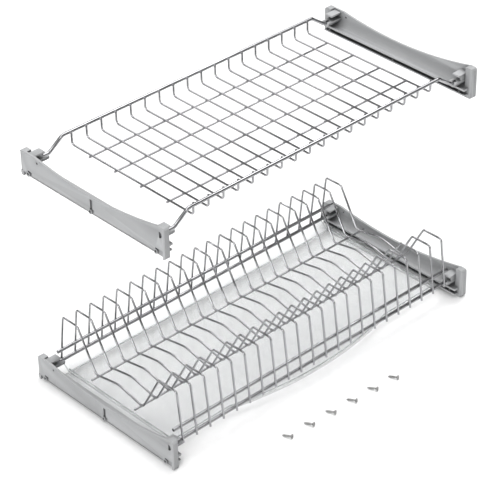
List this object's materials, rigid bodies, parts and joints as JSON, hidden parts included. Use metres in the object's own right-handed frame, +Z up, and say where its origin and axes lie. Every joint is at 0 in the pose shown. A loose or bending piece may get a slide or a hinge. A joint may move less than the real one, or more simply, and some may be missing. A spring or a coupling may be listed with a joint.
{
  "type": "dish drying rack",
  "caption": "Two-tier wire dish rack for a wall cabinet: plate hoops below with a clear sliding drip tray, a raised-edge glass shelf above, on four screw-on plastic side brackets.",
  "frame": {"origin": "middle of the whole set's box, on the surface the lower brackets stand on", "axes": "+X to the right across the cabinet, +Y to the cabinet's back, +Z up"},
  "size_m": [0.564, 0.3505, 0.376],
  "materials": {
    "bracket_plastic": "fine satin moulded grey",
    "clear_plastic": "clear, lightly hazed",
    "screw_steel": "zinc plated",
    "chrome_wire": "bright plated"
  },
  "bodies": {
    "brackets": {"lower_left_bracket": "bracket_plastic", "lower_right_bracket": "bracket_plastic", "upper_left_bracket": "bracket_plastic", "upper_right_bracket": "bracket_plastic", "mounting_screws": "screw_steel"},
    "plate_rack": {"rack_back_rail": "chrome_wire", "rack_front_rail": "chrome_wire", "rack_back_guide_rail": "chrome_wire", "rack_front_guide_rail": "chrome_wire", "rack_floor_wire_1": "chrome_wire", "rack_floor_wire_2": "chrome_wire", "plate_wire_1": "chrome_wire", "plate_wire_2": "chrome_wire", "plate_wire_3": "chrome_wire", "plate_wire_4": "chrome_wire", "plate_wire_5": "chrome_wire", "plate_wire_6": "chrome_wire", "plate_wire_7": "chrome_wire", "plate_wire_8": "chrome_wire", "plate_wire_9": "chrome_wire", "plate_wire_10": "chrome_wire", "plate_wire_11": "chrome_wire", "plate_wire_12": "chrome_wire", "plate_wire_13": "chrome_wire", "plate_wire_14": "chrome_wire", "plate_wire_15": "chrome_wire", "plate_wire_16": "chrome_wire", "plate_wire_17": "chrome_wire", "plate_wire_18": "chrome_wire", "plate_wire_19": "chrome_wire", "plate_wire_20": "chrome_wire", "plate_wire_21": "chrome_wire", "plate_wire_22": "chrome_wire"},
    "glass_shelf": {"shelf_back_rail": "chrome_wire", "shelf_front_rail": "chrome_wire", "shelf_long_wire_1": "chrome_wire", "shelf_long_wire_2": "chrome_wire", "shelf_long_wire_3": "chrome_wire", "shelf_long_wire_4": "chrome_wire", "shelf_wire_1": "chrome_wire", "shelf_wire_2": "chrome_wire", "shelf_wire_3": "chrome_wire", "shelf_wire_4": "chrome_wire", "shelf_wire_5": "chrome_wire", "shelf_wire_6": "chrome_wire", "shelf_wire_7": "chrome_wire", "shelf_wire_8": "chrome_wire", "shelf_wire_9": "chrome_wire", "shelf_wire_10": "chrome_wire", "shelf_wire_11": "chrome_wire", "shelf_wire_12": "chrome_wire", "shelf_wire_13": "chrome_wire", "shelf_wire_14": "chrome_wire", "shelf_wire_15": "chrome_wire", "shelf_wire_16": "chrome_wire", "shelf_wire_17": "chrome_wire", "shelf_wire_18": "chrome_wire"},
    "drip_tray": {"drip_tray": "clear_plastic"}
  },
  "joints": [
    {"name": "shelf_lift", "type": "slide", "parent": "brackets", "child": "glass_shelf", "axis": [0, 0, 1], "range_m": [0, 0.05]},
    {"name": "rack_lift", "type": "slide", "parent": "brackets", "child": "plate_rack", "axis": [0, 0, 1], "range_m": [0, 0.08]},
    {"name": "tray_slide", "type": "slide", "parent": "brackets", "child": "drip_tray", "axis": [0, -1, 0], "range_m": [0, 0.22]}
  ]
}
